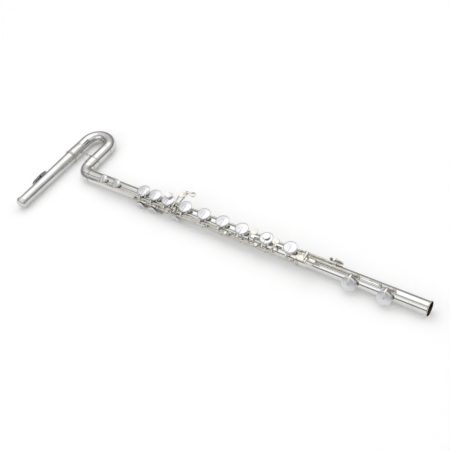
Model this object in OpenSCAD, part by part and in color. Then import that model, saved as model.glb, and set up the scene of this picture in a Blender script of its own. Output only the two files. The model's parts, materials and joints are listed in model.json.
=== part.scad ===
// Bass flute with an upright curved head, modelled as separate playable parts.
// Frame: origin at the centre of the foot's open end, +X out of the foot along the
// bore, +Z the way the main keys face, +Y from the player's side to the far side.
// A station is a distance in from the foot's open end, so it lies at X = -station.
// A key's angle is measured round the bore from +Z towards -Y.

/* [Tubes] */
// Outside radius of the body, foot and bends
tube_r = 15.25; // [12.5:0.05:18.5]
// Wall of every tube
wall = 0.5; // [0.4:0.05:0.8]
// Station where the foot joint ends and the body begins
foot_len = 284; // [276:1:284]
// Length of the body's tenon inside the foot's socket
tenon_len = 26; // [20:1:30]
// Station of the soldered seam between body and elbow
seam_at = 850; // [830:1:1020]
// Radius of the elbow's centre line
elbow_r = 24; // [20:0.5:30]
// Radius of the U-bend's centre line
bend_r = 33; // [27:0.5:40]
// Straight leg between the elbow and the U-bend
leg_len = 68; // [60:1:82]

/* [Head] */
// Y of the receiver's open end
receiver_end = 31; // [25:1:36]
// Length of the receiver over the head's tenon
receiver_len = 39; // [34:1:46]
// Y of the head tube's closed end
head_end = -141; // [-156:1:-118]
// Outside radius of the head tube at its closed end
head_tip_r = 13.25; // [12:0.05:14]
// Y of the middle of the embouchure hole
mouth_y = -63; // [-76:1:-55]
// Height of the lip plate's face above the head's axis
lip_h = 20.8; // [19:0.1:23]
// Length of the lip plate along the head
lip_len = 50; // [42:1:58]
// Width of the lip plate round the head
lip_w = 28; // [24:1:31]
// Length of the tuning cork
cork_len = 22; // [16:1:27]
// Outside radius of the crown
crown_r = 15.6; // [14:0.1:18]

/* [Key stations] */
// Low C cup on the foot
s_c = 84; // [80:1:88]
// C sharp cup on the foot
s_cs = 159.5; // [154:0.5:164]
// D sharp cup on the foot
s_ds = 207; // [203:1:216]
// D cup, third finger of the right hand
s_d = 302; // [301:1:303]
// E cup, second finger of the right hand
s_e = 359; // [358:1:360]
// F cup, worked by the touch of the first finger of the right hand
s_f = 420; // [418:1:424]
// F sharp cup
s_fs = 469; // [465:1:476]
// Lower G cup
s_g2 = 518; // [516:1:528]
// Upper G cup
s_g1 = 568; // [562:1:569]
// G sharp cup
s_gs = 587; // [586:1:588]
// A cup, second finger of the left hand
s_a = 615; // [614:1:617]
// B flat cup
s_bb = 652; // [649:1:653]
// C cup, first finger of the left hand
s_c2 = 684; // [682:1:686]
// B flat thumb cup
s_tbb = 650; // [648:1:652]
// B thumb cup
s_tb = 684; // [682:1:688]
// Distance from the seam down to the D sharp trill cup
trill_in = 50; // [46:1:56]
// Distance between the two trill cups
trill_gap = 39; // [36:1:46]

/* [Tone holes and cups] */
// Radius of a main tone hole
hole_r = 11.3; // [9:0.1:11.6]
// Radius of a side tone hole
side_hole_r = 7.2; // [5.8:0.1:8.6]
// Radius of a trill tone hole
trill_hole_r = 5.4; // [4.5:0.1:6.4]
// Radius of a foot tone hole
foot_hole_r = 12; // [10:0.1:12.2]
// Wall of a tone hole's chimney
chimney_wall = 0.9; // [0.7:0.05:1.2]
// Height of a chimney's rim above the tube
seat_rise = 3.75; // [3.4:0.05:5]
// How far a pad reaches past its tone hole
pad_over = 2.6; // [2:0.1:3]
// Thickness of a pad
pad_t = 2.3; // [1.9:0.1:2.8]
// Wall and top of a key cup
cup_wall = 1.05; // [0.8:0.05:1.3]
// Gap left between a closed pad and its chimney
seat_gap = 0.3; // [0.2:0.05:0.4]

/* [Keywork] */
// Radius of the steel hinge rods
rod_r = 1.2; // [1:0.05:1.4]
// Running gap of a barrel on its rod
run_gap = 0.05; // [0.02:0.01:0.08]
// Radius of a key's hinge barrel
barrel_r = 2.4; // [2.2:0.05:2.6]
// Height of the main rod above the tube
rod_rise = 6.75; // [6.3:0.05:8.2]
// Width of a key arm along the bore
arm_w = 3.4; // [2.8:0.1:4]
// Thickness of a key arm
arm_t = 2.4; // [2:0.1:2.6]
// Opening of the main keys in degrees
open_main = 6; // [4:0.5:7]
// Opening of the foot's two low keys in degrees
open_foot = 7; // [5:0.5:8]
// Radius of a finger touch
touch_r = 8.2; // [6.8:0.1:8.4]
// Radius of a post's ball
ball_r = 3.1; // [2.9:0.05:3.3]

/* [Hidden] */
$fn = 64;
eps = 0.01;
slip = 0.02;
// How much a strap swells where it bends
knuckle = 0.12;
silver = [0.86, 0.86, 0.84];
steel = [0.62, 0.63, 0.65];
felt = [0.86, 0.80, 0.62];
cork_brown = [0.60, 0.36, 0.22];

bore_r = tube_r - wall;
socket_gap = 0.05;
ring_r = tube_r + 1.75;
socket_r = tube_r + 1.0;
seat_h = tube_r + seat_rise;

// Hinge lines as [y, z] points round the bore
function polar(r, t) = [-r * sin(t), r * cos(t)];
// Point of a key's own plane: n outwards along the key's angle, l round the tube
function spot(t, n, l) = [-n * sin(t) - l * cos(t), n * cos(t) - l * sin(t)];

main_rad = tube_r + rod_rise;
main_t = 66;
main_h = polar(main_rad, main_t);
trill_rad = tube_r + rod_rise - 1.45;
trill_t = 49.3;
trill_h = polar(trill_rad, trill_t);
foot_rad = tube_r + 5.25;
ds_h = polar(foot_rad, -11);
c_h = polar(foot_rad, 12);

pad_r = hole_r + pad_over;
cup_r = pad_r + cup_wall + 0.05;
side_cup_r = side_hole_r + pad_over + cup_wall;
foot_cup_r = foot_hole_r + pad_over + cup_wall;
trill_cup_r = trill_hole_r + pad_over + cup_wall;
side_t = main_t + asin((side_cup_r + 1.6) / main_rad);
thumb_rad = tube_r + 4.2;
thumb_rod_t = side_t + asin((side_cup_r + 1.0) / thumb_rad);
thumb_h = polar(thumb_rad, thumb_rod_t);
thumb_rod_r = 0.9;
thumb_barrel_r = 1.8;
foot_t = 72;
ds_t = -60;
trill_cup_t = trill_t - 29;

pad_h = seat_h + seat_gap;
cup_under = pad_h + pad_t;
cup_top = cup_under + 1.9;

s_dt = seam_at - trill_in - trill_gap;
s_dst = seam_at - trill_in;
trill_end = seam_at - 40;

corner_x = -(seam_at + 4 + elbow_r);
bend_y = elbow_r + leg_len;
head_x = corner_x - 2 * bend_r;
socket_y = elbow_r + 2;
socket_len = 20;
sleeve_r = tube_r + 0.55;
head_tenon_r = bore_r + 0.05;
receiver_top = receiver_end + receiver_len;
head_root_r = tube_r - 0.5;
head_wall = 0.6;
cork_face = mouth_y - 26;
screw_r = 2;

// [station, angle, radius] of every tone hole on the body
body_holes = concat(
    [for (s = [s_d, s_e, s_f, s_fs, s_g2, s_g1, s_a, s_bb, s_c2]) [s, 0, hole_r]],
    [for (s = [s_gs, s_tbb, s_tb]) [s, side_t, side_hole_r]],
    [for (s = [s_dt, s_dst]) [s, trill_cup_t, trill_hole_r]]);
foot_holes = [[s_c, foot_t, foot_hole_r], [s_cs, foot_t, foot_hole_r], [s_ds, ds_t, foot_hole_r]];

// Stations of the posts that carry each rod
main_posts = [287, 374, 444, 500, 634, 702];
trill_posts = [384, 430, s_dt + 18, trill_end];
thumb_posts = [634, 667, 702];
low_posts = [70, 100, 147, 265.5];
ds_posts = [196, 268];

// ---------- shared shapes ----------

// Solid bar along the bore between two stations, centred on a [y, z] point
module bar_x(s1, s2, r, h = [0, 0])
    translate([-s2, h[0], h[1]]) rotate([0, 90, 0]) cylinder(h = s2 - s1, r = r);

module pipe_x(s1, s2, ro, ri)
    difference() {
        bar_x(s1, s2, ro);
        bar_x(s1 - 1, s2 + 1, ri);
    }

module pipe_y(x, y1, y2, ro, ri)
    translate([x, y1, 0]) rotate([-90, 0, 0]) difference() {
        cylinder(h = y2 - y1, r = ro);
        translate([0, 0, -1]) cylinder(h = y2 - y1 + 2, r = ri);
    }

// Puts a shape drawn along +Z at a station and an angle round the bore
module facing(s, t) translate([-s, 0, 0]) rotate([t, 0, 0]) children();

// Turns a key about its hinge line from its closed place to its place at rest
module opened(h, a)
    translate([0, h[0], h[1]]) rotate([a, 0, 0]) translate([0, -h[0], -h[1]]) children();

// Flat strap of constant thickness that follows [y, z] points
module strap(s, points, w = arm_w, t = arm_t)
    translate([-s - w / 2, 0, 0]) rotate([90, 0, 90]) linear_extrude(w)
        for (i = [0:len(points) - 2]) {
            d = points[i + 1] - points[i];
            translate(points[i]) rotate(atan2(d[1], d[0])) translate([0, -t / 2]) square([norm(d), t]);
            translate(points[i + 1]) circle(d = t + knuckle);
        }

// Strap that starts inside the wall of a hinge barrel
module arm(s, h, points, w = arm_w, t = arm_t, br = barrel_r) {
    d = points[0] - h;
    strap(s, concat([h + d * (0.7 * br / norm(d))], points), w, t);
}

module cup(s, t, r, pr)
    facing(s, t) rotate_extrude() polygon([
        [0, cup_under], [pr + 0.05, cup_under], [pr + 0.05, cup_under - 1.2], [r, cup_under - 1.2],
        [r, cup_under + 0.7], [r - 0.5, cup_under + 1.2], [r * 0.8, cup_top - 0.2], [0, cup_top]]);

module pad(s, t, pr) facing(s, t) translate([0, 0, pad_h]) cylinder(h = pad_t, r = pr);

// Arm from a hinge line over the cup's rim to its middle
module cup_arm(s, t, r, h, br = barrel_r) {
    n = -h[0] * sin(t) + h[1] * cos(t);
    l = -h[0] * cos(t) - h[1] * sin(t);
    side = l > 0 ? 1 : -1;
    out = max(abs(l), r + 1.3);
    difference() {
        arm(s, h, [spot(t, max(n + 2, cup_top - 6), side * (out + 0.2)),
            spot(t, cup_top + 0.4, side * (r - 1.4)), spot(t, cup_top + 0.6, -side * 2)], br = br);
        facing(s, t) cylinder(h = cup_under, r = r - cup_wall + 0.05);
    }
}

// Round finger touch, slightly dished, with its face at height z
module touch(s, y, z, r = touch_r)
    translate([-s, y, z]) rotate_extrude() polygon([
        [0, -2], [r - 0.8, -2], [r, -1.4], [r, -0.5], [r - 0.5, 0], [r * 0.7, -0.2], [0, -0.6]]);

// Barrels on a rod, each segment bored to run on it
module on_rod(h, segments, br = barrel_r, rr = rod_r)
    difference() {
        union() {
            for (g = segments) bar_x(g[0], g[1], br, h);
            children();
        }
        for (g = segments) bar_x(g[0] - 0.2, g[1] + 0.2, rr + run_gap, h);
    }

// Tail that meets its bumper cork when the key stands open
module tail(s) arm(s, main_h, [spot(main_t, tube_r + 3.6, 6.6), spot(main_t + 18, tube_r + 3.2, 1)], 3);

// Turned post whose foot is shaped to the round tube or socket that it stands on
module post(s, t, rad, hole, base = tube_r)
    difference() {
        facing(s, t) {
            translate([0, 0, base - 0.5]) cylinder(h = rad - base + 0.5, r = 1.8);
            translate([0, 0, base - 0.5]) cylinder(h = 1.6, r = 2.9);
            translate([0, 0, rad]) intersection() {
                sphere(r = ball_r);
                cube([4.6, 8, 8], center = true);
            }
        }
        bar_x(s - 4, s + 4, hole, polar(rad, t));
        bar_x(s - 4, s + 4, base);
    }

// Thin strap soldered along the tube under a row of posts
module rib(s1, s2, t, span = 20)
    translate([-s2, 0, 0]) rotate([0, 90, 0]) rotate([0, 0, 180 - t - span / 2])
        rotate_extrude(angle = span) translate([tube_r, 0]) square([0.75, s2 - s1]);

module drilled_tube(s1, s2, holes)
    difference() {
        union() {
            bar_x(s1, s2, tube_r);
            for (k = holes) facing(k[0], k[1])
                translate([0, 0, tube_r / 2]) cylinder(h = seat_h - tube_r / 2, r = k[2] + chimney_wall);
        }
        bar_x(s1 - 1, s2 + 1, bore_r);
        for (k = holes) facing(k[0], k[1])
            cylinder(h = seat_h + 1, r = k[2]);
    }

// ---------- body ----------

module body_tube() color(silver) drilled_tube(foot_len - tenon_len, seam_at, body_holes);

module elbow() color(silver) {
    pipe_x(seam_at, seam_at + 4, tube_r, bore_r);
    translate([-seam_at - 4, elbow_r, 0]) rotate([0, 0, 180])
        rotate_extrude(angle = 90) translate([elbow_r, 0]) difference() {
            circle(tube_r);
            circle(bore_r);
        }
    pipe_y(corner_x, elbow_r, socket_y, tube_r, bore_r);
    pipe_y(corner_x, socket_y - 0.8, socket_y + 0.6, socket_r, bore_r);
    pipe_y(corner_x, socket_y + 0.6, socket_y + socket_len, socket_r, tube_r + socket_gap);
}

module elbow_rings() color(silver) {
    pipe_x(seam_at - 3, seam_at + 3, tube_r + 0.6, tube_r);
    pipe_y(corner_x, socket_y + socket_len - 4, socket_y + socket_len, ring_r, socket_r);
}

module body_posts() color(silver) {
    for (s = main_posts) post(s, main_t, main_rad, rod_r + slip);
    for (s = trill_posts) post(s, trill_t, trill_rad, rod_r + run_gap);
    for (s = thumb_posts) post(s, thumb_rod_t, thumb_rad, thumb_rod_r + slip);
}

module body_ribs() color(silver) {
    difference() {
        union() {
            rib(foot_len + 0.5, 706, main_t, 16);
            rib(s_dt + 12, trill_end + 4, trill_t, 16);
        }
        for (s = main_posts) facing(s, main_t) cylinder(h = 40, r = 2.95);
        for (s = trill_posts) facing(s, trill_t) cylinder(h = 40, r = 2.95);
        for (k = body_holes) facing(k[0], k[1]) cylinder(h = 40, r = k[2] + chimney_wall + 0.1);
        for (c = bumper_spots) facing(c, main_t + 18) cylinder(h = 40, r = 2.4);
    }
}

module hinge_rods() color(steel) {
    bar_x(284.5, 704.5, rod_r, main_h);
    bar_x(631.5, 704.5, thumb_rod_r, thumb_h);
}

module needle_springs() color(steel)
    for (s = main_posts) bar_x(s + 3, s + 27, 0.35, polar(tube_r + 2.2, main_t - 8));

bumper_spots = [s_e - 5, s_f - 5, s_fs - 5, s_g2 - 5, s_a - 5];
module bumper_corks() color(cork_brown)
    for (s = bumper_spots) facing(s, main_t + 18)
        translate([0, 0, tube_r]) cylinder(h = 1.5, r = 2.2);

// ---------- curved head ----------

module return_tube() color(silver) pipe_y(corner_x, socket_y + 1, bend_y, tube_r, bore_r);

module u_bend() color(silver) {
    translate([corner_x - bend_r, bend_y, 0]) rotate_extrude(angle = 180)
        translate([bend_r, 0]) difference() {
            circle(tube_r);
            circle(bore_r);
        }
    pipe_y(head_x, receiver_top - 4, bend_y, tube_r, bore_r);
}

module receiver() color(silver) {
    pipe_y(head_x, receiver_end, receiver_top - 4, sleeve_r, head_tenon_r + socket_gap);
    pipe_y(head_x, receiver_top - 4, receiver_top, sleeve_r, tube_r);
}

module receiver_ring() color(silver)
    pipe_y(head_x, receiver_end, receiver_end + 5, ring_r - 0.1, sleeve_r);

module bend_band() color(silver) pipe_y(corner_x, bend_y - 3, bend_y, tube_r + 0.4, tube_r);

module brace() color(silver) {
    inner = corner_x - tube_r;
    outer = head_x + sleeve_r;
    translate([outer, bend_y - 35, 0]) rotate([0, 90, 0]) {
        cylinder(h = inner - outer, r = 1.5);
        cylinder(h = 1.6, r = 4);
        translate([0, 0, inner - outer - 1.6]) cylinder(h = 1.6, r = 4);
        translate([0, 0, (inner - outer) / 2]) sphere(r = 3);
    }
}

// Inside radius of the head tube at a place along it
function head_in(y) = let (f = (y - head_end) / (receiver_end - head_end))
    (head_tip_r + (head_root_r - head_tip_r) * f) - head_wall;

// Rounded embouchure hole, drawn along -X through the head's wall
module mouth_hole(grow = 0)
    translate([head_x, mouth_y, 0]) rotate([0, -90, 0]) for (d = [-1, 0, 1])
        if (d == 0) translate([-5 - grow, -1, 0]) cube([10 + 2 * grow, 2, 40]);
        else translate([0, d, 0]) cylinder(h = 40, r = 5 + grow);

module head_tube() color(silver)
    difference() {
        translate([head_x, 0, 0]) rotate([-90, 0, 0]) rotate_extrude() polygon([
            [head_in(head_end), head_end], [head_tip_r, head_end],
            [head_root_r, receiver_end - 0.4], [head_tenon_r, receiver_end - 0.4],
            [head_tenon_r, receiver_top - 6], [head_in(receiver_end), receiver_top - 6],
            [head_in(receiver_end), receiver_end]]);
        mouth_hole(1.2);
    }

riser_base = head_in(mouth_y) + head_wall;
module riser() color(silver)
    difference() {
        intersection() {
            mouth_hole(2.4);
            translate([head_x, mouth_y - 12, 0]) rotate([-90, 0, 0]) cylinder(h = 24, r = lip_h - 1.3);
        }
        mouth_hole(0);
        translate([head_x, mouth_y - 12, 0]) rotate([-90, 0, 0]) cylinder(h = 24, r = riser_base + 0.15);
    }

// Point of an oval with squared ends, at an angle from its long axis
function oval(a) = [lip_w / 2 * sign(sin(a)) * pow(abs(sin(a)), 0.7),
    lip_len / 2 * sign(cos(a)) * pow(abs(cos(a)), 0.7)];
module lip_plate() color(silver)
    difference() {
        intersection() {
            pipe_y(head_x, mouth_y - lip_len / 2, mouth_y + lip_len / 2, lip_h, lip_h - 1.25);
            translate([head_x, mouth_y, 0]) rotate([0, -90, 0]) linear_extrude(40)
                polygon([for (a = [0:7.5:352.5]) oval(a)]);
        }
        mouth_hole(0);
    }

module stopper_cork() color(cork_brown)
    pipe_y(head_x, cork_face - cork_len, cork_face, head_in(cork_face - cork_len) - 0.05, screw_r);

module reflector_plates() color(silver) {
    translate([head_x, cork_face, 0]) rotate([-90, 0, 0]) cylinder(h = 1, r = head_in(cork_face) - 0.2);
    pipe_y(head_x, cork_face - cork_len - 1, cork_face - cork_len, 8, screw_r);
}

module stopper_screw() color(steel)
    translate([head_x, head_end - 6, 0]) rotate([-90, 0, 0])
        cylinder(h = cork_face - head_end + 6, r = screw_r);

module crown() color(silver)
    translate([head_x, head_end - 0.3, 0]) rotate([90, 0, 0]) difference() {
        rotate_extrude() polygon([
            [0, 0], [crown_r - 0.4, 0], [crown_r, 0.7], [crown_r, 2.3], [crown_r - 0.6, 2.9],
            [crown_r - 0.9, 4.2], [crown_r - 1.6, 6], [crown_r - 3.4, 8], [crown_r - 6.4, 9.4],
            [crown_r - 10, 10.2], [0, 10.6]]);
        translate([0, 0, -1]) cylinder(h = 7.4, r = screw_r + run_gap);
    }

// ---------- foot joint ----------

foot_shoulder = foot_len - tenon_len - 2;
module foot_tube() color(silver) {
    drilled_tube(0, foot_shoulder, foot_holes);
    pipe_x(foot_shoulder, foot_shoulder + 1.6, socket_r, bore_r);
    pipe_x(foot_shoulder + 1.6, foot_len - 0.4, socket_r, tube_r + socket_gap);
}

module foot_rings() color(silver) {
    pipe_x(foot_len - 8, foot_len - 0.4, ring_r, socket_r);
    pipe_x(0, 2.6, tube_r + 1.0, tube_r);
}

function foot_seat(s) = s > foot_shoulder + 2 ? socket_r : tube_r;
module foot_posts() color(silver) {
    for (s = low_posts) post(s, 12, foot_rad, rod_r + run_gap, foot_seat(s));
    for (s = ds_posts) post(s, -11, foot_rad, rod_r + slip, foot_seat(s));
}

module foot_rod() color(steel) bar_x(193.6, 270.4, rod_r, ds_h);

module foot_springs() color(steel)
    for (s = [70, 100, 147, 196]) bar_x(s + 3.2, s + 26, 0.35, polar(tube_r + 1.4, 0));

// ---------- foot keys ----------

module low_cup(s) {
    cup(s, foot_t, foot_cup_r, foot_hole_r + pad_over);
    cup_arm(s, foot_t, foot_cup_r, c_h);
}

roller_at = [c_h[0] - 18.5, c_h[1] + 1];
module c_key() color(silver) {
    bar_x(67.6, 262.4, rod_r, c_h);
    opened(c_h, -open_foot) {
        bar_x(73.5, 96, barrel_r, c_h);
        bar_x(253.2, 262, barrel_r, c_h);
        low_cup(s_c);
        arm(257.5, c_h, [[c_h[0] - 8, c_h[1] + 3], roller_at]);
        bar_x(236.5, 257.5, 0.9, roller_at);
        bar_x(235.5, 237, 1.7, roller_at);
    }
}
module c_pad() color(felt) opened(c_h, -open_foot) pad(s_c, foot_t, foot_hole_r + pad_over);

module foot_roller() color(silver) opened(c_h, -open_foot)
    difference() {
        bar_x(237.5, 255, 2.7, roller_at);
        bar_x(237, 256, 0.9 + run_gap, roller_at);
    }

module cs_key() color(silver) on_rod(c_h, [[150, 252.6]]) opened(c_h, -open_foot) {
    low_cup(s_cs);
    arm(245, c_h, [[c_h[0] - 7, c_h[1] + 3.4], [c_h[0] - 12.5, c_h[1] + 2.6]], 14, 2);
}
module cs_pad() color(felt) opened(c_h, -open_foot) pad(s_cs, foot_t, foot_hole_r + pad_over);

ds_touch = [c_h[0] - 12, c_h[1] + 6.2];
module ds_key() color(silver) on_rod(ds_h, [[199, 265]]) {
    cup(s_ds, ds_t, foot_cup_r, foot_hole_r + pad_over);
    cup_arm(s_ds, ds_t, foot_cup_r, ds_h);
    arm(262, ds_h, [[ds_h[0] - 2, ds_h[1] + 6.2], ds_touch]);
    translate([-270, ds_touch[0], ds_touch[1] - 1.2]) {
        cylinder(h = 2.2, r = touch_r);
        translate([0, -touch_r, 0]) cube([10, 2 * touch_r, 2.2]);
    }
}
module ds_pad() color(felt) pad(s_ds, ds_t, foot_hole_r + pad_over);

// ---------- body keys ----------

module main_cup(s) {
    cup(s, 0, cup_r, pad_r);
    cup_arm(s, 0, cup_r, main_h);
}
module main_pad(s) opened(main_h, open_main) pad(s, 0, pad_r);

touch_z = cup_top + 5.5;

module d_key() color(silver) on_rod(main_h, [[291, 344]]) opened(main_h, open_main) {
    main_cup(s_d);
    arm(334, main_h, [[main_h[0] - 1, cup_top - 4], [-6, touch_z - 2.4]]);
    touch(334, -2, touch_z - 1);
}
module d_pad() color(felt) main_pad(s_d);

module e_key() color(silver) on_rod(main_h, [[345, 370.5]]) {
    opened(main_h, open_main) {
        main_cup(s_e);
        translate([-s_e, 2, cup_top - 0.6]) cylinder(h = 3, r = 3);
        touch(s_e, 2, cup_top + 4.2);
    }
    tail(s_e - 5);
}
module e_pad() color(felt) main_pad(s_e);

module f_key() color(silver) on_rod(main_h, [[378, 440.5]]) {
    opened(main_h, open_main) {
        main_cup(s_f);
        arm(392, main_h, [[main_h[0] - 1, cup_top - 4], [-5, touch_z - 1.4]]);
        touch(388, 0, touch_z);
    }
    tail(s_f - 5);
}
module f_pad() color(felt) main_pad(s_f);

module fs_key() color(silver) on_rod(main_h, [[448, 496]]) {
    opened(main_h, open_main) main_cup(s_fs);
    tail(s_fs - 5);
}
module fs_pad() color(felt) main_pad(s_fs);

// The bridge carries the G key's barrel past the G sharp key's own barrel
g_bridge = polar(main_rad + 4.4, main_t);
module g_key() color(silver) on_rod(main_h, [[504, 582.4], [591.6, 602]]) {
    opened(main_h, open_main) {
        for (s = [s_g1, s_g2]) main_cup(s);
        arm(594.5, main_h, [[main_h[0] - 0.5, cup_top - 6], [-8, cup_top], [19, touch_z - 2]], 3);
        touch(590, 22, touch_z - 0.5);
    }
    bar_x(579.5, 594.5, 1.1, g_bridge);
    for (s = [581, 593.2]) arm(s, main_h, [g_bridge], 2.2, 2.2);
    tail(s_g2 - 5);
}
module g_pads() color(felt) for (s = [s_g1, s_g2]) main_pad(s);

gs_touch = [33, touch_z + 0.5];
module gs_key() color(silver) on_rod(main_h, [[583.2, 590.8]]) {
    cup(s_gs, side_t, side_cup_r, side_hole_r + pad_over);
    cup_arm(s_gs, side_t, side_cup_r, main_h);
    arm(s_gs, main_h, [[main_h[0] - 0.5, cup_top - 6], [-8, cup_top - 1], [gs_touch[0], cup_top - 1],
        gs_touch], 3);
    translate([-569, gs_touch[0], gs_touch[1] - 1]) {
        cylinder(h = 2, r = 6.6);
        translate([-19.5, -2.4, 0]) cube([19.5, 4.8, 2]);
    }
}
module gs_pad() color(felt) pad(s_gs, side_t, side_hole_r + pad_over);

module a_key() color(silver) on_rod(main_h, [[603, 630.5]]) {
    opened(main_h, open_main) {
        main_cup(s_a);
        translate([-s_a, 8, cup_top - 1]) cylinder(h = touch_z - cup_top, r = 3);
        touch(617, 10, touch_z);
    }
    tail(s_a - 5);
}
module a_pad() color(felt) main_pad(s_a);

module bb_key() color(silver) on_rod(main_h, [[638, 663.5]]) opened(main_h, open_main) main_cup(s_bb);
module bb_pad() color(felt) main_pad(s_bb);

module c2_key() color(silver) on_rod(main_h, [[664.5, 698]]) opened(main_h, open_main) {
    main_cup(s_c2);
    translate([-674, -4, cup_top - 1]) cylinder(h = 3, r = 2.6);
    touch(671.5, -4, cup_top + 3.6, touch_r - 1.2);
}
module c2_pad() color(felt) main_pad(s_c2);

module thumb_key(s, s1, s2) on_rod(thumb_h, [[s1, s2]], thumb_barrel_r, thumb_rod_r)
    opened(thumb_h, open_main) {
        cup(s, side_t, side_cup_r, side_hole_r + pad_over);
        cup_arm(s, side_t, side_cup_r, thumb_h, thumb_barrel_r);
    }
module b_thumb_key() color(silver) thumb_key(s_tb, 670, 699);
module b_thumb_pad() color(felt) opened(thumb_h, open_main) pad(s_tb, side_t, side_hole_r + pad_over);
module bb_thumb_key() color(silver) thumb_key(s_tbb, 637, 664);
module bb_thumb_pad() color(felt) opened(thumb_h, open_main) pad(s_tbb, side_t, side_hole_r + pad_over);

// ---------- trill keys ----------

module trill_cup(s) {
    cup(s, trill_cup_t, trill_cup_r, trill_hole_r + pad_over);
    cup_arm(s, trill_cup_t, trill_cup_r, trill_h);
}
// Lever that rises between two main arms to a small plate beside the cups
module trill_touch(s) {
    plate = [trill_h[0] - 7.5, cup_top - 0.5];
    arm(s, trill_h, [[trill_h[0] - 2, trill_h[1] + 5.5], plate], 3);
    strap(s, [plate, plate + [-6, -0.6]], 8, 1.8);
}

module d_trill_key() color(silver) on_rod(trill_h, [[438, s_dt + 12]]) {
    trill_cup(s_dt);
    trill_touch(447);
}
module d_trill_pad() color(felt) pad(s_dt, trill_cup_t, trill_hole_r + pad_over);

module ds_trill_key() color(silver) {
    bar_x(368, trill_end + 2.4, rod_r, trill_h);
    bar_x(368, 380.5, barrel_r, trill_h);
    bar_x(s_dt + 21.5, trill_end - 3.5, barrel_r, trill_h);
    trill_cup(s_dst);
    trill_touch(370);
}
module ds_trill_pad() color(felt) pad(s_dst, trill_cup_t, trill_hole_r + pad_over);

// ---------- the whole flute ----------

body_tube();
elbow();
elbow_rings();
body_posts();
body_ribs();
hinge_rods();
needle_springs();
bumper_corks();
return_tube();
u_bend();
receiver();
receiver_ring();
bend_band();
brace();
head_tube();
riser();
lip_plate();
stopper_cork();
reflector_plates();
stopper_screw();
crown();
foot_tube();
foot_rings();
foot_posts();
foot_rod();
foot_springs();
c_key();
c_pad();
cs_key();
cs_pad();
ds_key();
ds_pad();
foot_roller();
d_key();
d_pad();
e_key();
e_pad();
f_key();
f_pad();
fs_key();
fs_pad();
g_key();
g_pads();
gs_key();
gs_pad();
a_key();
a_pad();
bb_key();
bb_pad();
c2_key();
c2_pad();
b_thumb_key();
b_thumb_pad();
bb_thumb_key();
bb_thumb_pad();
d_trill_key();
d_trill_pad();
ds_trill_key();
ds_trill_pad();
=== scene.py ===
"""A bass flute with an upright curved head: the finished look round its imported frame."""
import json
import math

import bmesh
import bpy
from mathutils import Matrix, Vector


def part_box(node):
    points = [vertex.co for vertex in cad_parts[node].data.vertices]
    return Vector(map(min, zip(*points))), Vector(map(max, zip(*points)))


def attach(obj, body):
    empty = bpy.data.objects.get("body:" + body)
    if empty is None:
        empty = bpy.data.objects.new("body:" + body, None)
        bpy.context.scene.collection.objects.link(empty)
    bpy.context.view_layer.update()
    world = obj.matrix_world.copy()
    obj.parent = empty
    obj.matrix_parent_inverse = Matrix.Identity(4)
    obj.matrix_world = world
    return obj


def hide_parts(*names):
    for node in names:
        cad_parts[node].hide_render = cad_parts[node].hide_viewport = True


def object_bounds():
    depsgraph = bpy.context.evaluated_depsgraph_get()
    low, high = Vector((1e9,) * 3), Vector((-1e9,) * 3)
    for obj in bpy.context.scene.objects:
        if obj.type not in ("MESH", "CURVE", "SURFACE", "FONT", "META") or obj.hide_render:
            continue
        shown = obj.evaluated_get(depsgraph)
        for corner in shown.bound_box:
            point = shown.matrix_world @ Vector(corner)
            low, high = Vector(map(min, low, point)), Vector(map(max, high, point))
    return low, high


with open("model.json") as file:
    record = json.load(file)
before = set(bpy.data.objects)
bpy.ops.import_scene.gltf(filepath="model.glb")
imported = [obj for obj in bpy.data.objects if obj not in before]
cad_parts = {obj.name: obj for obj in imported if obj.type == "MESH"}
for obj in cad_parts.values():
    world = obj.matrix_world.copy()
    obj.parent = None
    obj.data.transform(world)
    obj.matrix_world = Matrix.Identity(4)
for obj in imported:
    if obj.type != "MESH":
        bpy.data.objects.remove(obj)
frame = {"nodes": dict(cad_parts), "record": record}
cad_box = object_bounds()


# ---------- sizes ----------

def box(node):
    low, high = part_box(node)
    return Vector(low), Vector(high)


def middle(node):
    low, high = box(node)
    return (low + high) / 2


MM = 0.001
X_AXIS = Vector((1, 0, 0))
Y_AXIS = Vector((0, 1, 0))

# Read from the frame
body_low, body_high = box("body_tube")
leg_low, leg_high = box("return_tube")
bend_low = box("u_bend")[0]
head_low, head_high = box("head_tube")
lip_low, lip_high = box("lip_plate")
TUBE_R = (leg_high.x - leg_low.x) / 2
LEG_X = middle("return_tube").x
HEAD_X = middle("head_tube").x
BEND_Y = leg_high.y
BEND_R = (LEG_X - HEAD_X) / 2
SEAM_X = body_low.x
MOUTH_Y = (lip_low.y + lip_high.y) / 2
LIP_R = HEAD_X - lip_low.x

# Tubes and the joints between them
WALL = 0.5 * MM
INNER_R = TUBE_R - WALL
SOCKET_R = TUBE_R + 1.0 * MM
PLAY = 0.05 * MM
FOOT_SOCKET = 27.6 * MM
ELBOW_SOCKET = 22 * MM

# Tone holes and their chimneys; an angle round the bore runs from +Z towards -Y
SEAT_H = TUBE_R + 3.75 * MM
PAD_OVER = 2.6 * MM
CHIMNEY_WALL = 0.9 * MM
CHIMNEY_ROLL = 0.75 * MM
FOOT_T = math.radians(72)
DS_T = math.radians(-60)
DEPTH_OF_CUT = 40 * MM

# Head
HEAD_TIP_R = 13.25 * MM
HEAD_WALL = 0.6 * MM
MOUTH_ACROSS = 5 * MM
MOUTH_ALONG = 6 * MM
RISER_FOOT = 12.6 * MM
LIP_THICK = 1.1 * MM

# Steps round a turned part
FINE = 96
MEDIUM = 64
COARSE = 32
HOLE_SIDES = 48


# ---------- materials ----------

def linear(hex_colour):
    """Turns an sRGB hex colour into the linear colour that the shader works in."""
    parts = [int(hex_colour[i:i + 2], 16) / 255 for i in (1, 3, 5)]
    return [c / 12.92 if c <= 0.04045 else ((c + 0.055) / 1.055) ** 2.4 for c in parts] + [1.0]


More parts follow.
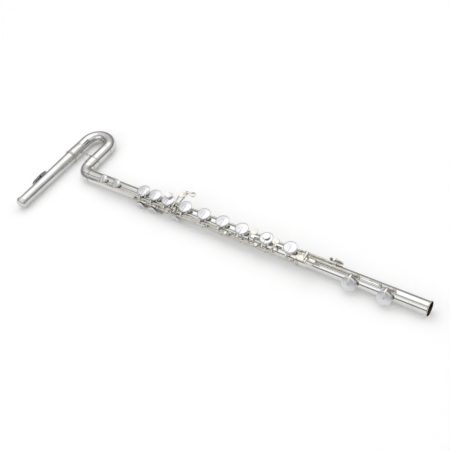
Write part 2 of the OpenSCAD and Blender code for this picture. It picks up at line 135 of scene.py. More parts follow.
def add(tree, kind, settings=None, **inputs):
    """Adds a node, sets its properties, and fills its inputs with values or links."""
    made = tree.nodes.new(kind)
    for name, value in (settings or {}).items():
        setattr(made, name, value)
    for name, value in inputs.items():
        key = int(name[1:]) if name[0] == "i" and name[1:].isdigit() else name.replace("_", " ")
        socket = made.inputs[key]
        if isinstance(value, bpy.types.NodeSocket):
            tree.links.new(value, socket)
        else:
            socket.default_value = value
    return made


def ramp(tree, factor, stops):
    made = add(tree, "ShaderNodeValToRGB", Fac=factor)
    line = made.color_ramp
    while len(line.elements) < len(stops):
        line.elements.new(0.5)
    for element, (place, colour) in zip(line.elements, stops):
        element.position = place
        element.color = colour
    return made.outputs["Color"]


def grey(v):
    return (v, v, v, 1.0)


def new_material(name):
    material = bpy.data.materials.new(name)
    material.use_nodes = True
    tree = material.node_tree
    shader = tree.nodes["Principled BSDF"]
    coords = add(tree, "ShaderNodeTexCoord").outputs["Object"]
    return material, tree, shader, coords


def plated(name, bright, dull, rough_low, rough_high, cloud_mm, line_mm, along, bump):
    """Silver plate: a metal whose colour clouds a little, with fine polishing lines."""
    material, tree, shader, coords = new_material(name)
    cloud = add(tree, "ShaderNodeTexNoise", Vector=coords, Scale=1 / (cloud_mm * MM), Detail=4.0)
    colour = ramp(tree, cloud.outputs["Fac"], [(0.35, linear(dull)), (0.62, linear(bright))])
    stretch = add(tree, "ShaderNodeMapping", Vector=coords, Scale=along)
    lines = add(tree, "ShaderNodeTexNoise", Vector=stretch.outputs["Vector"],
                Scale=1 / (line_mm * MM), Detail=3.0)
    rough = add(tree, "ShaderNodeMapRange", Value=lines.outputs["Fac"],
                To_Min=rough_low, To_Max=rough_high)
    dent = add(tree, "ShaderNodeBump", Height=lines.outputs["Fac"], Strength=bump,
               Distance=0.02 * MM)
    tree.links.new(colour, shader.inputs["Base Color"])
    tree.links.new(rough.outputs["Result"], shader.inputs["Roughness"])
    tree.links.new(dent.outputs["Normal"], shader.inputs["Normal"])
    shader.inputs["Metallic"].default_value = 1.0
    return material


# Silver plate, buffed to a mirror on the tubes: sharp reflections, faint lengthwise lines
tube_silver = plated("mirror_silver_plate", "#DCDCDB", "#D2D1CE", 0.05, 0.12, 45, 0.5,
                     (0.05, 1, 1), 0.12)
# The same plate on the head, whose length lies across the body's
head_silver = plated("mirror_silver_plate_head", "#D6D6D5", "#CBCAC7", 0.1, 0.18, 45, 0.5,
                     (1, 0.05, 1), 0.12)
# Silver plate left with a fine satin on the cups and touches: soft, pale reflections
cup_silver = plated("satin_silver_plate", "#DFDFE2", "#D5D5D7", 0.26, 0.36, 20, 0.35,
                    (1, 0.2, 1), 0.25)
# Cast nickel silver under thin plate on posts and rings: slightly warmer and softer
post_silver = plated("plated_nickel_silver", "#D0CCC3", "#BDB7A9", 0.12, 0.22, 6, 0.4,
                     (1, 1, 1), 0.2)
# The same metal polished bright on barrels, levers and touches: clear, slightly warm
arm_silver = plated("polished_keywork_silver", "#D3D1CB", "#C4C0B6", 0.08, 0.16, 9, 0.4,
                    (1, 1, 1), 0.15)
# The unpolished inside of a drawn tube, gone brown with age and breath
bore_silver = plated("tarnished_bore", "#7C6656", "#4E3D33", 0.32, 0.5, 18, 1.2,
                     (0.1, 1, 1), 0.4)
# Drawn tool steel of the rods and springs: greyer, with fine draw lines
rod_steel = plated("drawn_steel", "#B4B5B8", "#94969B", 0.16, 0.28, 10, 0.3,
                   (0.04, 1, 1), 0.3)


def pad_skin_material():
    """Goldbeater's skin over woven felt: creamy, dull, faintly fibrous."""
    material, tree, shader, coords = new_material("pad_skin_over_felt")
    fibre = add(tree, "ShaderNodeTexNoise", Vector=coords, Scale=1 / (0.9 * MM), Detail=6.0)
    colour = ramp(tree, fibre.outputs["Fac"], [(0.3, linear("#A08A48")), (0.7, linear("#CDB97C"))])
    weave = add(tree, "ShaderNodeTexVoronoi", Vector=coords, Scale=1 / (0.6 * MM))
    dent = add(tree, "ShaderNodeBump", Height=weave.outputs["Distance"], Strength=0.35,
               Distance=0.1 * MM)
    tree.links.new(colour, shader.inputs["Base Color"])
    tree.links.new(dent.outputs["Normal"], shader.inputs["Normal"])
    shader.inputs["Roughness"].default_value = 0.62
    return material


def cork_material():
    """Pressed cork: red-brown grains with darker pores."""
    material, tree, shader, coords = new_material("pressed_cork")
    grain = add(tree, "ShaderNodeTexVoronoi", Vector=coords, Scale=1 / (0.8 * MM))
    colour = ramp(tree, grain.outputs["Distance"],
                  [(0.1, linear("#A3653F")), (0.75, linear("#6B3A22"))])
    dent = add(tree, "ShaderNodeBump", Height=grain.outputs["Distance"], Strength=0.5,
               Distance=0.15 * MM)
    tree.links.new(colour, shader.inputs["Base Color"])
    tree.links.new(dent.outputs["Normal"], shader.inputs["Normal"])
    shader.inputs["Roughness"].default_value = 0.85
    return material


pad_skin = pad_skin_material()
cork = cork_material()


# ---------- mesh helpers ----------

def frame_at(origin, along, side=Vector((0, 0, 1))):
    """A matrix whose Z runs along a direction from an origin."""
    z = Vector(along).normalized()
    x = Vector(side).cross(z)
    if x.length < 1e-6:
        x = Vector((1, 0, 0)).cross(z)
    x.normalize()
    y = z.cross(x)
    turn = Matrix((x, y, z)).transposed().to_4x4()
    return Matrix.Translation(origin) @ turn


def on_body(x):
    """Where a part on the body's axis starts, with Z along the axis."""
    return frame_at(Vector((x, 0, 0)), X_AXIS)


def on_leg(x, y):
    """Where a part on one of the upright legs starts, with Z up the leg."""
    return frame_at(Vector((x, y, 0)), Y_AXIS)


def angles(sides):
    return [2 * math.pi * k / sides for k in range(sides)]


def arc(centre, radii, degrees, power=1):
    """Outline points on an ellipse's arc about a (radius, height) centre."""
    return [(centre[0] + radii[0] * math.cos(math.radians(a)) ** power,
             centre[1] + radii[1] * math.sin(math.radians(a))) for a in degrees]


def join(bm, a, b, slot=0):
    """Faces between two rings of points, or between a ring and a point on the axis."""
    sides = max(len(a), len(b))
    if sides == 1:
        return
    for k in range(sides):
        n = (k + 1) % sides
        if len(a) == 1:
            corners = (a[0], b[n], b[k])
        elif len(b) == 1:
            corners = (a[k], a[n], b[0])
        else:
            corners = (a[k], a[n], b[n], b[k])
        bm.faces.new(corners).material_index = slot


def lathe(bm, profile, place, sides=MEDIUM, inner_from=None):
    """Turns a closed (radius, height) outline about Z. Faces from inner_from on get slot 1."""
    rings = []
    for radius, height in profile:
        if radius <= 0:
            points = [Vector((0, 0, height))]
        else:
            points = [Vector((radius * math.cos(a), radius * math.sin(a), height))
                      for a in angles(sides)]
        rings.append([bm.verts.new(place @ point) for point in points])
    closed = profile[0][0] > 0 and profile[-1][0] > 0
    for i in range(len(rings) if closed else len(rings) - 1):
        inside = inner_from is not None and i >= inner_from
        join(bm, rings[i], rings[(i + 1) % len(rings)], int(inside))


def pipe(bm, length, place, sides):
    """A plain length of the flute's tube."""
    lathe(bm, [(TUBE_R, 0), (TUBE_R, length), (INNER_R, length), (INNER_R, 0)], place, sides)


def bend(bm, centre, radius, start, sweep, steps, sides=MEDIUM):
    """A length of the flute's tube whose centre line is an arc in the XY plane."""
    shells = []
    for r in (TUBE_R, INNER_R):
        rings = []
        for i in range(steps + 1):
            a = start + sweep * i / steps
            out = Vector((math.cos(a), math.sin(a), 0))
            rings.append([bm.verts.new(centre + out * (radius + r * math.cos(u))
                                       + Vector((0, 0, r * math.sin(u))))
                          for u in angles(sides)])
        shells.append(rings)
    for slot, rings in enumerate(shells):
        for i in range(steps):
            join(bm, rings[i], rings[i + 1], slot)
    for i in (0, steps):
        join(bm, shells[0][i], shells[1][i])


def bead(inner, outer, low, high, edge):
    """Closed outline of a ring with rounded outer corners."""
    corners = arc((outer - edge, low + edge), (edge, edge), [-90 + 22.5 * i for i in range(5)])
    corners += arc((outer - edge, high - edge), (edge, edge), [22.5 * i for i in range(5)])
    return [(inner, low)] + corners + [(inner, high)]


def new_object(bm, name, materials=()):
    """Turns a built mesh into an object in the scene."""
    mesh = bpy.data.meshes.new(name)
    bm.to_mesh(mesh)
    bm.free()
    for material in materials:
        mesh.materials.append(material)
    made = bpy.data.objects.new(name, mesh)
    bpy.context.collection.objects.link(made)
    return made


def hand_over(piece, node_names, body):
    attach(piece, body)
    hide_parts(*node_names)


def finish_piece(bm, name, node_names, body, materials, sharp=32):
    """Closes up a mesh, turns its faces outwards and hands it to the frame."""
    bmesh.ops.remove_doubles(bm, verts=bm.verts, dist=1e-7)
    bmesh.ops.recalc_face_normals(bm, faces=bm.faces)
    piece = new_object(bm, name, materials)
    piece.data.shade_smooth()
    piece.data.set_sharp_from_angle(angle=math.radians(sharp))
    hand_over(piece, node_names, body)


def turned(name, node, body, material, parts, sides=FINE):
    """A piece made of outlines turned about their own axes."""
    bm = bmesh.new()
    for outline, place in parts:
        lathe(bm, outline, place, sides)
    finish_piece(bm, name, [node], body, [material])


def evaluated_mesh(source):
    """The plain mesh that an object's modifiers make."""
    bpy.context.view_layer.update()
    evaluated = source.evaluated_get(bpy.context.evaluated_depsgraph_get())
    return bpy.data.meshes.new_from_object(evaluated)


def cut_round_hole(tube, place, radius):
    """Cuts a round hole into a tube, and leaves the tube as a plain mesh."""
    bm = bmesh.new()
    lathe(bm, [(0, 0), (radius, 0), (radius, DEPTH_OF_CUT), (0, DEPTH_OF_CUT)], place, HOLE_SIDES)
    bmesh.ops.recalc_face_normals(bm, faces=bm.faces)
    cutter = new_object(bm, "cutter")
    cut = tube.modifiers.new("hole", "BOOLEAN")
    cut.object = cutter
    cut.operation = "DIFFERENCE"
    cut.solver = "EXACT"
    tube.data = evaluated_mesh(tube)
    tube.modifiers.clear()
    bpy.data.objects.remove(cutter)


# ---------- tubes ----------

def facing(t):
    """The direction round the bore at an angle from +Z towards -Y."""
    return Vector((0, -math.sin(t), math.cos(t)))


def key_direction(pad):
    """Angle round the bore that a pad faces."""
    centre = middle(pad)
    return math.atan2(-centre.y, centre.z)


def straight_tube(x1, x2):
    """A tube in short lengths, so that cut holes only disturb the walls near them."""
    bm = bmesh.new()
    length = x2 - x1
    steps = max(2, int(length / (12 * MM)))
    heights = [length * i / steps for i in range(steps + 1)]
    outline = [(TUBE_R, h) for h in heights] + [(INNER_R, h) for h in reversed(heights)]
    lathe(bm, outline, on_body(x1), FINE, inner_from=steps)
    bmesh.ops.recalc_face_normals(bm, faces=bm.faces)
    return bm


def smooth_round_walls(mesh):
    """Gives every corner on the tube's own walls the true radial normal, so that cut
    holes leave no dents in the reflections."""
    normals = []
    for poly in mesh.polygons:
        for loop in poly.loop_indices:
            point = mesh.vertices[mesh.loops[loop].vertex_index].co.copy()
            point.x = 0
            radial = point.normalized()
            off_wall = min(abs(point.length - TUBE_R), abs(point.length - INNER_R))
            lean = poly.normal.dot(radial)
            if abs(lean) > 0.97 and off_wall < 0.02 * MM and abs(poly.normal.x) < 0.2:
                normals.append(radial if lean > 0 else -radial)
            else:
                normals.append(poly.normal.copy())
    return normals


def chimney(bm, x, t, r):
    """Soldered chimney with a rolled rim, cut at its foot to sit on the round tube."""
    out = facing(t)
    across = facing(t + math.pi / 2)
    rim = SEAT_H - CHIMNEY_ROLL
    section = [(r, None), (r, rim)]
    section += arc((r + CHIMNEY_ROLL, rim), (CHIMNEY_ROLL, CHIMNEY_ROLL), range(150, -31, -30))
    section += [(r + CHIMNEY_WALL, SEAT_H - 2.2 * CHIMNEY_ROLL), (r + CHIMNEY_WALL, None)]
    rings = []
    for radius, height in section:
        ring = []
        for a in angles(HOLE_SIDES * 2):
            side = radius * math.sin(a)
            h = height
            if height is None:
                h = math.sqrt(max(TUBE_R ** 2 - side ** 2, 0)) - 0.15 * MM
            ring.append(bm.verts.new(Vector((x, 0, 0)) + out * h + across * side
                                     + X_AXIS * radius * math.cos(a)))
        rings.append(ring)
    for i, ring in enumerate(rings):
        join(bm, ring, rings[(i + 1) % len(rings)])


def drilled(name, node, body, x1, x2, pads):
    """A tube with its tone holes cut and a rolled-rim chimney standing on each."""
    tube = new_object(straight_tube(x1, x2), name, [tube_silver, bore_silver])
    bm = bmesh.new()
    for x, t, pad_r in pads:
        r = pad_r - PAD_OVER
        cut_round_hole(tube, frame_at(Vector((x, 0, 0)), facing(t), X_AXIS), r)
        chimney(bm, x, t, r)
    tube.data.shade_smooth()
    tube.data.normals_split_custom_set(smooth_round_walls(tube.data))
    hand_over(tube, [node], body)
    finish_piece(bm, name + "_chimneys", [node], body, [tube_silver])


def hole_under(pad, t):
    """The station, angle and pad radius of the tone hole under a pad."""
    low, high = box(pad)
    return (low.x + high.x) / 2, t, (high.x - low.x) / 2


def body_holes():
    holes = [hole_under(pad, 0.0) for pad in
             ("d_pad", "e_pad", "f_pad", "fs_pad", "a_pad", "bb_pad", "c2_pad")]
    low, high = box("g_pads")
    r = holes[0][2]
    holes += [(low.x + r, 0.0, r), (high.x - r, 0.0, r)]
    side_t = key_direction("gs_pad")
    holes += [hole_under(pad, side_t) for pad in ("gs_pad", "b_thumb_pad", "bb_thumb_pad")]
    return holes + [hole_under(pad, key_direction(pad)) for pad in ("d_trill_pad", "ds_trill_pad")]


def make_body():
    drilled("body_tube_skin", "body_tube", "body", SEAM_X, body_high.x, body_holes())
    high = box("elbow_rings")[1]
    band = on_body(high.x - 6 * MM)
    ring = on_leg(LEG_X, high.y - 4 * MM)
    inner = TUBE_R + 0.9 * MM
    turned("elbow_rings_turned", "elbow_rings", "body", post_silver, [
        (bead(TUBE_R - PLAY, TUBE_R + 0.6 * MM, 0, 6 * MM, 0.5 * MM), band),
        (bead(inner, high.z, 0, 1.7 * MM, 0.7 * MM), ring),
        (bead(inner, high.z - 0.35 * MM, 1.7 * MM, 4 * MM, 0.5 * MM), ring)])
    make_elbow()


def make_elbow():
    """The bend at the top of the body, with the socket that takes the return tube."""
    bm = bmesh.new()
    high = box("elbow")[1]
    turn_r = high.y - ELBOW_SOCKET
    start_x = LEG_X + turn_r
    pipe(bm, high.x - start_x, on_body(start_x), MEDIUM)
    bend(bm, Vector((start_x, turn_r, 0)), turn_r, math.pi, math.pi / 2, 40)
    bore = TUBE_R + PLAY
    floor = 2 * MM
    lathe(bm, [(TUBE_R, 0), (TUBE_R, 1.6 * MM), (TUBE_R + 0.3 * MM, 1.8 * MM),
               (SOCKET_R, 2.9 * MM), (SOCKET_R, ELBOW_SOCKET), (bore, ELBOW_SOCKET),
               (bore, floor), (INNER_R, floor), (INNER_R, 0)], on_leg(LEG_X, turn_r), MEDIUM)
    finish_piece(bm, "elbow_bent", ["elbow"], "body", [tube_silver, bore_silver])


def make_curve():
    """The curved head: return tube, U-bend, receiver and the rings between them."""
    bm = bmesh.new()
    pipe(bm, leg_high.y - leg_low.y, on_leg(LEG_X, leg_low.y), FINE)
    finish_piece(bm, "return_tube_drawn", ["return_tube"], "curved_head",
                 [head_silver, bore_silver])
    bm = bmesh.new()
    bend(bm, Vector((LEG_X - BEND_R, BEND_Y, 0)), BEND_R, 0, math.pi, 96, 80)
    pipe(bm, BEND_Y - bend_low.y, on_leg(HEAD_X, bend_low.y), 80)
    finish_piece(bm, "u_bend_drawn", ["u_bend"], "curved_head", [head_silver, bore_silver])
    make_receiver()
    low, high = box("bend_band")
    outline = bead(TUBE_R - PLAY, (high.x - low.x) / 2, 0, high.y - low.y, 0.3 * MM)
    turned("bend_band_turned", "bend_band", "curved_head", post_silver,
           [(outline, on_leg(LEG_X, low.y))])
    make_brace()


def make_receiver():
    """The sleeve that takes the head's tenon, with three beads round its mouth."""
    low, high = box("receiver")
    sleeve = (high.x - low.x) / 2
    length = high.y - low.y
    bore = TUBE_R - 0.4 * MM
    outline = [(sleeve, 0), (sleeve, length - 1.2 * MM), (sleeve - 0.25 * MM, length - 0.4 * MM),
               (TUBE_R, length), (TUBE_R, length - 4 * MM), (bore, length - 4 * MM), (bore, 0)]
    turned("receiver_sleeve", "receiver", "curved_head", head_silver,
           [(outline, on_leg(HEAD_X, low.y))])
    low, high = box("receiver_ring")
    outer = (high.x - low.x) / 2
    place = on_leg(HEAD_X, low.y)
    beads = ((0, 2, 0, 0.8), (2, 3.6, 0.5, 0.5), (3.6, 5, 0.2, 0.6))
    turned("receiver_ring_turned", "receiver_ring", "curved_head", post_silver,
           [(bead(sleeve - PLAY, outer - less * MM, a * MM, b * MM, edge * MM), place)
            for a, b, less, edge in beads])


def make_brace():
    """Thin turned strut between the two legs of the bend."""
    low, high = box("brace")
    length = high.x - low.x
    half = length / 2
    end = [(0, 0), (4 * MM, 0), (4 * MM, 0.8 * MM), (3.2 * MM, 1.5 * MM), (1.9 * MM, 2.4 * MM),
           (1.3 * MM, 5 * MM), (1.2 * MM, half - 5 * MM), (1.7 * MM, half - 3.4 * MM)]
    ball = arc((0, half), (3 * MM, 3 * MM), range(-50, 51, 20))
    outline = end + ball + [(r, length - h) for r, h in reversed(end)]
    place = frame_at(Vector((low.x, (low.y + high.y) / 2, 0)), X_AXIS)
    turned("brace_turned", "brace", "curved_head", post_silver, [(outline, place)], COARSE)


def make_foot():
    """The foot joint's tube, the socket for the body's tenon, and the turned rings."""
    start = box("foot_tube")[0].x
    pads = (("c_pad", FOOT_T), ("cs_pad", FOOT_T), ("ds_pad", DS_T))
    drilled("foot_tube_skin", "foot_tube", "foot_joint", start + FOOT_SOCKET, 0.0,
            [hole_under(pad, t) for pad, t in pads])
    place = on_body(start)
    bore = TUBE_R + PLAY
    floor = FOOT_SOCKET - 1.6 * MM
    outline = [(bore, 0), (SOCKET_R, 0), (SOCKET_R, FOOT_SOCKET - 1.2 * MM),
               (SOCKET_R - 0.4 * MM, FOOT_SOCKET - 0.3 * MM), (TUBE_R, FOOT_SOCKET),
               (INNER_R, FOOT_SOCKET), (INNER_R, floor), (bore, floor)]
    turned("foot_socket", "foot_tube", "foot_joint", tube_silver, [(outline, place)])
    high = box("foot_rings")[1]
    parts = [(bead(SOCKET_R - PLAY, high.z - less * MM, a * MM, b * MM, 0.6 * MM), place)
             for a, b, less in ((0, 1.8, 0), (1.8, 5.8, 0.55), (5.8, 7.6, 0.1))]
    parts.append((bead(TUBE_R - PLAY, TUBE_R + 1.0 * MM, 0, 2.6 * MM, 0.9 * MM),
                  on_body(high.x - 2.6 * MM)))
    turned("foot_rings_turned", "foot_rings", "foot_joint", post_silver, parts)


# ---------- head ----------

def squared(v, power=0.7):
    """Pulls an oval's outline out towards squared ends."""
    return math.copysign(abs(v) ** power, v)


def mouth_outline(a, grow=0.0):
    """Rounded embouchure hole: places across and along the head at an angle."""
    return (MOUTH_ACROSS + grow) * math.sin(a), (MOUTH_ALONG + grow) * math.cos(a)


def on_head(radius, y, z):
    """The point of a round surface about the head's axis that faces the player."""
    return Vector((HEAD_X - math.sqrt(max(radius ** 2 - z ** 2, 0)), MOUTH_Y + y, z))


def make_lip_plate():
    """A dished saddle with a real mouth hole, rolled over to a thin soft edge."""
    half_len = (lip_high.y - lip_low.y) / 2
    half_w = (lip_high.z - lip_low.z) / 2
    steps = 14
    bm = bmesh.new()

    def surface(a, f, under):
        hz, hy = mouth_outline(a)
        z = hz + (half_w * squared(math.sin(a)) - hz) * f
        y = hy + (half_len * squared(math.cos(a)) - hy) * f
        drop = 0.9 * MM * f ** 3 + 0.35 * MM * math.exp(-f * 9)
        r = LIP_R - drop - (LIP_THICK if under else 0)
        swell = 1 - 0.10 * (y / half_len) ** 2 * f
        return on_head(r * swell, y, z)

    tops, lows = ([[bm.verts.new(surface(a, i / steps, under)) for a in angles(FINE)]
                   for i in range(steps + 1)] for under in (False, True))
    for rings in (tops, lows):
        for i in range(steps):
            join(bm, rings[i], rings[i + 1])
    for i in (0, steps):
        join(bm, tops[i], lows[i])
    finish_piece(bm, "lip_plate_dished", ["lip_plate"], "head_joint", [head_silver], sharp=50)


def make_riser():
    """The chimney that joins lip plate and head tube round the mouth hole."""
    bm = bmesh.new()
    rings = []
    for grow, h in ((0, LIP_R - 1.0 * MM), (0.1 * MM, RISER_FOOT), (2.3 * MM, RISER_FOOT),
                    (1.7 * MM, LIP_R - 3.5 * MM), (2.2 * MM, LIP_R - 1.0 * MM)):
        ring = []
        for a in angles(FINE):
            z, y = mouth_outline(a, grow)
            ring.append(bm.verts.new(on_head(h, y, z)))
        rings.append(ring)
    for i, ring in enumerate(rings):
        join(bm, ring, rings[(i + 1) % len(rings)])
    finish_piece(bm, "riser_soldered", ["riser"], "head_joint", [head_silver])


def make_head():
    """The tapered head tube, its mouth hole cut through, with its tenon."""
    tenon_r = (head_high.x - head_low.x) / 2
    taper = box("receiver")[0].y - 0.4 * MM - head_low.y
    length = head_high.y - head_low.y
    root_r = TUBE_R - 0.5 * MM

    def along(count):
        return [(HEAD_TIP_R + (root_r - HEAD_TIP_R) * i / count, taper * i / count)
                for i in range(count + 1)]

    outline = along(24)
    outline += [(tenon_r, taper), (tenon_r, length), (root_r - HEAD_WALL, length)]
    inner_from = len(outline) - 1
    outline += [(r - HEAD_WALL, h) for r, h in reversed(along(6))]
    bm = bmesh.new()
    lathe(bm, outline, on_leg(HEAD_X, head_low.y), FINE, inner_from)
    bmesh.ops.recalc_face_normals(bm, faces=bm.faces)
    tube = new_object(bm, "head_tube_drawn", [head_silver, bore_silver])
    mouth = frame_at(Vector((HEAD_X, MOUTH_Y, 0)), -X_AXIS, Y_AXIS)
    cut_round_hole(tube, mouth, MOUTH_ALONG)
    tube.data.shade_smooth()
    tube.data.set_sharp_from_angle(angle=math.radians(30))
    hand_over(tube, ["head_tube"], "head_joint")


def make_crown():
    """The screw cap that closes the head: a beaded foot, a groove and a low dome."""
    low, high = box("crown")
    r = (high.x - low.x) / 2
    height = high.y - low.y
    screw_r = 2.05 * MM
    bead_r = 1.1 * MM
    dome_r = r - 0.9 * MM
    dome_y = 3.1 * MM
    hollow = 6.4 * MM
    outline = [(screw_r, 0), (r - bead_r, 0)]
    outline += arc((r - bead_r, bead_r), (bead_r, bead_r), range(-70, 91, 20))
    outline += [(dome_r, 2.5 * MM), (dome_r, 3.0 * MM)]
    outline += arc((0, dome_y), (dome_r, height - dome_y), range(8, 89, 8), 0.6)
    outline += [(0, height), (0, hollow), (screw_r, hollow)]
    place = frame_at(Vector((HEAD_X, high.y, 0)), -Y_AXIS)
    turned("crown_turned", "crown", "crown", head_silver, [(outline, place)])


# ---------- keywork ----------

CUP_MARGIN = 2.4 * MM
EASED = 0.22 * MM


def satin_zones_of(members):
    """Balls round a key's pads: what lies inside them is the cup, buffed to a satin."""
    zones = []
    for node in members:
        low, high = box(node)
        mid = (low + high) / 2
        if node == "g_pads":
            single_low, single_high = box("d_pad")
            r = (single_high.x - single_low.x) / 2
            zones += [(Vector((x, mid.y, mid.z)), r + CUP_MARGIN) for x in (low.x + r, high.x - r)]
        elif node.endswith("_pad"):
            zones.append((mid, (high.x - low.x) / 2 + CUP_MARGIN))
    return zones


def polished(node, body, satin_zones):
    """A copy of a CAD node with its edges eased, as hand finishing leaves them."""
    bm = bmesh.new()
    bm.from_mesh(frame["nodes"][node].data)
    bmesh.ops.remove_doubles(bm, verts=bm.verts, dist=2e-6)
    bmesh.ops.dissolve_limit(bm, angle_limit=math.radians(0.5), verts=bm.verts, edges=bm.edges)
    edges = [e for e in bm.edges if len(e.link_faces) == 2
             and e.calc_face_angle(0) > math.radians(35)]
    bmesh.ops.bevel(bm, geom=edges, offset=EASED, segments=2, profile=0.6,
                    affect="EDGES", clamp_overlap=True)
    for face in bm.faces:
        at = face.calc_center_median()
        face.material_index = 0 if any((at - c).length < r for c, r in satin_zones) else 1
    piece = new_object(bm, node + "_finished", [cup_silver, arm_silver])
    piece.data.shade_smooth()
    piece.data.set_sharp_from_angle(angle=math.radians(50))
    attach(piece, body)
    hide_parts(node)


def make_keys():
    for body, members in frame["record"]["behaviour"]["bodies"].items():
        for node in members:
            if node.endswith("_key") or node == "foot_roller":
                polished(node, body, satin_zones_of(members))
            elif node.endswith("_posts"):
                make_posts(node, body)


# ---------- posts ----------

POST_BALL = 3.1 * MM
POST_FLAT = 2.3 * MM
POST_STEM = 1.45 * MM


def loose_parts(mesh):
    """Splits a mesh into lists of points, one list for each separate solid."""
    bm = bmesh.new()
    bm.from_mesh(mesh)
    bmesh.ops.remove_doubles(bm, verts=bm.verts, dist=2e-6)
    left = set(bm.verts)
    parts = []
    while left:
        queue = [left.pop()]
        part = []
        while queue:
            vert = queue.pop()
            part.append(vert.co.copy())
            for edge in vert.link_edges:
                other = edge.other_vert(vert)
                if other in left:
                    left.remove(other)
                    queue.append(other)
        parts.append(part)
    bm.free()
    return parts


def post_shape(base, reach):
    """One turned post along +Z: a foot, a waisted stem and a ball with two flat sides."""
    outline = [(0, base - 0.3 * MM), (2.9 * MM, base - 0.3 * MM), (2.9 * MM, base + 0.7 * MM),
               (2.5 * MM, base + 1.1 * MM), (POST_STEM, base + 1.3 * MM),
               (POST_STEM, reach - 3.2 * MM)]
    outline += arc((0, reach), (POST_BALL, POST_BALL), range(-55, 86, 10))
    outline.append((0, reach + POST_BALL))
    bm = bmesh.new()
    lathe(bm, outline, Matrix.Identity(4), COARSE)
    for vert in bm.verts:
        if vert.co.z > reach - POST_BALL:
            vert.co.x = max(-POST_FLAT, min(POST_FLAT, vert.co.x))
    mesh = bpy.data.meshes.new("post_shape")
    bm.to_mesh(mesh)
    bm.free()
    return bpy.data.objects.new("post_shape", mesh)


def post_row_tree():
    """Geometry Nodes: stands one post on every point, turned by the point's own angles."""
    tree = bpy.data.node_groups.new("posts_on_points", "GeometryNodeTree")
    sockets = {}
    for name, kind in (("Points", "Geometry"), ("Post", "Object"), ("Finish", "Material")):
        made = tree.interface.new_socket(name, in_out="INPUT", socket_type="NodeSocket" + kind)
        sockets[name] = made.identifier
    tree.interface.new_socket("Posts", in_out="OUTPUT", socket_type="NodeSocketGeometry")
    start = add(tree, "NodeGroupInput")
    turn = add(tree, "GeometryNodeInputNamedAttribute", {"data_type": "FLOAT_VECTOR"}, Name="turn")
    rotation = add(tree, "FunctionNodeEulerToRotation", Euler=turn.outputs["Attribute"])
    shape = add(tree, "GeometryNodeObjectInfo", Object=start.outputs["Post"])
    stand = add(tree, "GeometryNodeInstanceOnPoints", Points=start.outputs["Points"],
                Instance=shape.outputs["Geometry"], Rotation=rotation.outputs["Rotation"])
    solid = add(tree, "GeometryNodeRealizeInstances", Geometry=stand.outputs["Instances"])
    dress = add(tree, "GeometryNodeSetMaterial", Geometry=solid.outputs["Geometry"],
                Material=start.outputs["Finish"])
    end = add(tree, "NodeGroupOutput")
    tree.links.new(dress.outputs["Geometry"], end.inputs["Posts"])
    return tree, sockets


POST_TREE, POST_SOCKETS = post_row_tree()


def make_posts(node, body):
    """Rebuilds a row of posts as turned pieces at the places that the frame gives."""
    rows = {}
    for part in loose_parts(frame["nodes"][node].data):
        radii = [math.hypot(p.y, p.z) for p in part]
        xs = [p.x for p in part]
        centre = sum(part, Vector()) / len(part)
        angle = math.atan2(-centre.y, centre.z)
        base_and_reach = (round(min(radii), 5), round(max(radii) - POST_BALL, 5))
        rows.setdefault(base_and_reach, []).append(((min(xs) + max(xs)) / 2, angle))
    bm = bmesh.new()
    for (base, reach), places in sorted(rows.items()):
        mesh = bpy.data.meshes.new("post_places")
        mesh.from_pydata([(x, 0, 0) for x, _ in places], [], [])
        turn = mesh.attributes.new("turn", "FLOAT_VECTOR", "POINT")
        for i, (_, angle) in enumerate(places):
            turn.data[i].vector = (angle, 0, 0)
        row = bpy.data.objects.new("post_places", mesh)
        bpy.context.collection.objects.link(row)
        shape = post_shape(base, reach)
        modifier = row.modifiers.new("posts", "NODES")
        modifier.node_group = POST_TREE
        modifier[POST_SOCKETS["Post"]] = shape
        modifier[POST_SOCKETS["Finish"]] = post_silver
        bm.from_mesh(evaluated_mesh(row))
        row.modifiers.clear()
        bpy.data.objects.remove(row)
        bpy.data.objects.remove(shape)
    finish_piece(bm, node + "_turned", [node], body, [post_silver], sharp=40)


# CAD nodes that are right as they stand, and what each is made of
CARRIED = {
    "body_ribs": post_silver, "hinge_rods": rod_steel, "needle_springs": rod_steel,
    "bumper_corks": cork, "stopper_cork": cork, "reflector_plates": tube_silver,
    "stopper_screw": rod_steel, "foot_rod": rod_steel, "foot_springs": rod_steel,
}


def dress_carried_nodes():
    """Gives the CAD nodes that stay in view their material."""
    for name, obj in frame["nodes"].items():
        material = CARRIED.get(name)
        if name.endswith("_pad") or name == "g_pads":
            material = pad_skin
        if material:
            obj.data.materials.clear()
            obj.data.materials.append(material)


# ---------- studio ----------

def stage_plane(name, size, place, colour, strength=0.0):
    """A flat sheet of the studio, matt, with a little light of its own if asked."""
    mesh = bpy.data.meshes.new(name)
    w, h = size[0] / 2, size[1] / 2
    corners = [place @ Vector(c) for c in ((-w, -h, 0), (w, -h, 0), (w, h, 0), (-w, h, 0))]
    mesh.from_pydata(corners, [], [(0, 1, 2, 3)])
    material = bpy.data.materials.new(name)
    material.use_nodes = True
    shader = material.node_tree.nodes["Principled BSDF"]
    shader.inputs["Base Color"].default_value = linear(colour)
    shader.inputs["Roughness"].default_value = 0.9
    shader.inputs["Specular IOR Level"].default_value = 0.0
    shader.inputs["Emission Color"].default_value = linear(colour)
    shader.inputs["Emission Strength"].default_value = strength
    mesh.materials.append(material)
    plane = bpy.data.objects.new(name, mesh)
    bpy.context.collection.objects.link(plane)


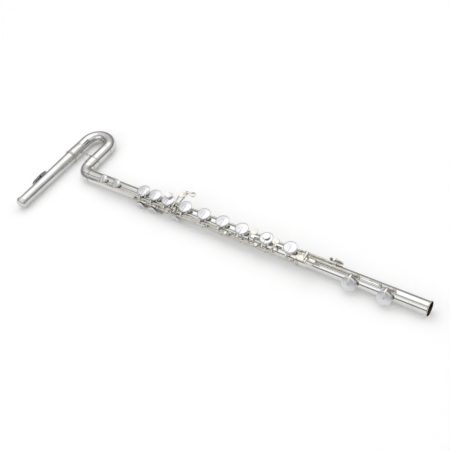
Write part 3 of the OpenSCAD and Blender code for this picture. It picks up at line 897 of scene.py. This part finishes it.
def soft_light(name, place, target, size, power):
    data = bpy.data.lights.new(name, "AREA")
    data.shape = "RECTANGLE"
    data.size, data.size_y = size
    data.energy = power
    lamp = bpy.data.objects.new(name, data)
    lamp.location = place
    lamp.rotation_euler = (Vector(target) - Vector(place)).to_track_quat("-Z", "Y").to_euler()
    bpy.context.collection.objects.link(lamp)


def make_studio():
    """A pale floor, two soft lights, a dark flag and a sky that is brighter overhead."""
    floor_z = cad_box[0][2]
    centre = Vector((-0.48, 0.0, 0.0))
    stage_plane("floor", (14, 14), Matrix.Translation((centre.x, 0, floor_z)), "#F8F8F8", 0.14)
    # A narrow dark flag over the flute draws the dark line along its polished tubes
    flag_away = Vector((-0.461, -0.30, 0.83)).normalized() * 1.9
    flag = frame_at(centre + flag_away, -flag_away, X_AXIS)
    stage_plane("flag", (0.20, 3.4), flag, "#0A0A0A")
    soft_light("top", (-0.9, 0.9, 2.4), centre, (2.4, 2.4), 12)
    soft_light("front", (-0.9, -2.2, 1.3), centre, (3.2, 1.2), 8)
    world = bpy.data.worlds.new("studio")
    bpy.context.scene.world = world
    world.use_nodes = True
    tree = world.node_tree
    direction = add(tree, "ShaderNodeTexCoord").outputs["Generated"]
    height = add(tree, "ShaderNodeSeparateXYZ", Vector=direction).outputs["Z"]
    sky = ramp(tree, height, [(0.0, grey(0.16)), (0.25, grey(0.3)), (0.7, grey(0.95))])
    tree.links.new(sky, tree.nodes["Background"].inputs["Color"])
    tree.nodes["Background"].inputs["Strength"].default_value = 1.0
    bpy.context.scene.view_settings.view_transform = "Standard"


def make_camera():
    """A long lens from above the foot end, so the tube runs away towards the head."""
    data = bpy.data.cameras.new("camera")
    data.sensor_width = 36
    data.lens = 64
    camera = bpy.data.objects.new("camera", data)
    right = Vector((0.827, 0.5464, -0.1322)).normalized()
    back = Vector((0.461, -0.5247, 0.7157))
    back = (back - right * back.dot(right)).normalized()
    up = back.cross(right)
    turn = Matrix((right, up, back)).transposed().to_4x4()
    camera.matrix_world = Matrix.Translation((0.324, -0.898, 1.237)) @ turn
    bpy.context.collection.objects.link(camera)
    bpy.context.scene.camera = camera


make_body()
make_curve()
make_foot()
make_lip_plate()
make_riser()
make_head()
make_crown()
make_keys()
dress_carried_nodes()
make_studio()
make_camera()
